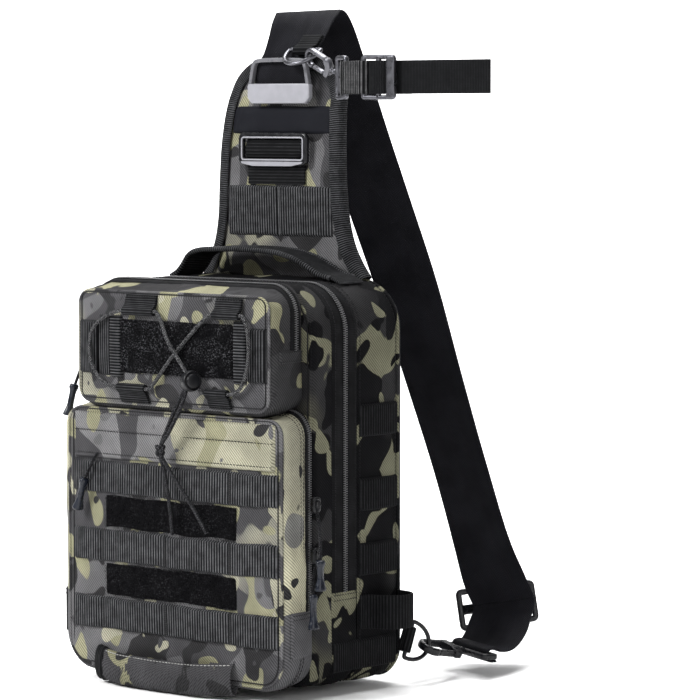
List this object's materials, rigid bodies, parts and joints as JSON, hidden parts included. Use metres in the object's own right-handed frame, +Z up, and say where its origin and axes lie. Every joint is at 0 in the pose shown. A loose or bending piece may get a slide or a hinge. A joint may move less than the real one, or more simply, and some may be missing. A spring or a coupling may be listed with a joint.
{
  "type": "fishing rod bag",
  "caption": "Camouflage sling bag for fishing, with front pockets, webbing rows, a padded shoulder piece, a sling strap, and a loop and strap that hold a rod at its side.",
  "frame": {"origin": "underside of the sling strap at the top of its arch, where the bag hangs", "axes": "+Z up along the bag's height, -Y towards the front pockets, +X towards the rod loop on the right as seen from the front"},
  "size_m": [0.3479, 0.3192, 0.5216],
  "materials": {
    "camo_cloth": "coated twill printed in a dark camouflage",
    "webbing": "ribbed black webbing",
    "loop_pile": "black loop pile",
    "zipper": "black zipper tape with nylon coil",
    "cord": "braided elastic cord, black flecked with grey",
    "elastic": "smooth black elastic",
    "black_plastic": "moulded, satin",
    "grey_hardware": "grey satin"
  },
  "bodies": {
    "bag": {"back_panel": "camo_cloth", "rear_gusset": "camo_cloth", "base_gusset": "camo_cloth", "main_zipper": "zipper", "front_shell": "camo_cloth", "upper_pocket": "camo_cloth", "lower_pocket": "camo_cloth", "upper_pocket_zipper": "zipper", "lower_pocket_zipper": "zipper", "pocket_flap": "camo_cloth", "molle_front_1": "webbing", "molle_front_2": "webbing", "molle_front_3": "webbing", "loop_patch_1": "loop_pile", "loop_patch_2": "loop_pile", "bottom_handle": "webbing", "side_band_left": "webbing", "side_band_right": "webbing", "loop_panel": "loop_pile", "panel_binding_left": "webbing", "panel_binding_right": "webbing", "cord_tab_top_left": "webbing", "cord_tab_top_right": "webbing", "cord_tab_bottom_left": "webbing", "cord_tab_bottom_right": "webbing", "bungee_lacing": "cord", "bungee_tails": "cord", "cord_lock": "black_plastic", "molle_side_1": "webbing", "molle_side_2": "webbing", "molle_side_3": "webbing", "molle_side_4": "webbing", "rod_loop": "webbing", "top_handle": "webbing", "shoulder_pad": "camo_cloth", "pad_binding": "webbing", "pad_molle": "webbing", "pad_elastic": "elastic", "pad_strap": "webbing", "pad_ring_buckle": "black_plastic", "upper_buckle": "grey_hardware", "sling_strap": "webbing", "strap_adjuster": "black_plastic", "side_ring_tab": "webbing", "side_ring": "black_plastic", "lower_hook": "black_plastic", "lower_hook_base": "black_plastic", "lower_strap": "webbing", "ring_tab": "webbing", "d_ring": "grey_hardware", "rod_hook": "grey_hardware", "rod_hook_base": "grey_hardware", "rod_strap_buckle": "grey_hardware", "rod_strap": "webbing", "zip_pull_1": "black_plastic", "zip_pull_2": "black_plastic", "zip_pull_3": "black_plastic", "zip_pull_4": "black_plastic"},
    "rod_hook_lever": {"rod_hook_gate": "grey_hardware"},
    "lower_hook_lever": {"lower_hook_gate": "black_plastic"}
  },
  "joints": [
    {"name": "rod_hook_gate_hinge", "type": "hinge", "parent": "bag", "child": "rod_hook_lever", "pos_m": [0.04873, -0.03949, -0.04814], "axis": [0.23, 0.9349, 0.2702], "range_deg": [0, 32], "stiffness_Nm_per_rad": 0.02},
    {"name": "lower_hook_gate_hinge", "type": "hinge", "parent": "bag", "child": "lower_hook_lever", "pos_m": [0.12787, 0.02287, -0.49919], "axis": [-0.401, -0.1677, -0.9006], "range_deg": [0, 26], "stiffness_Nm_per_rad": 0.03}
  ]
}
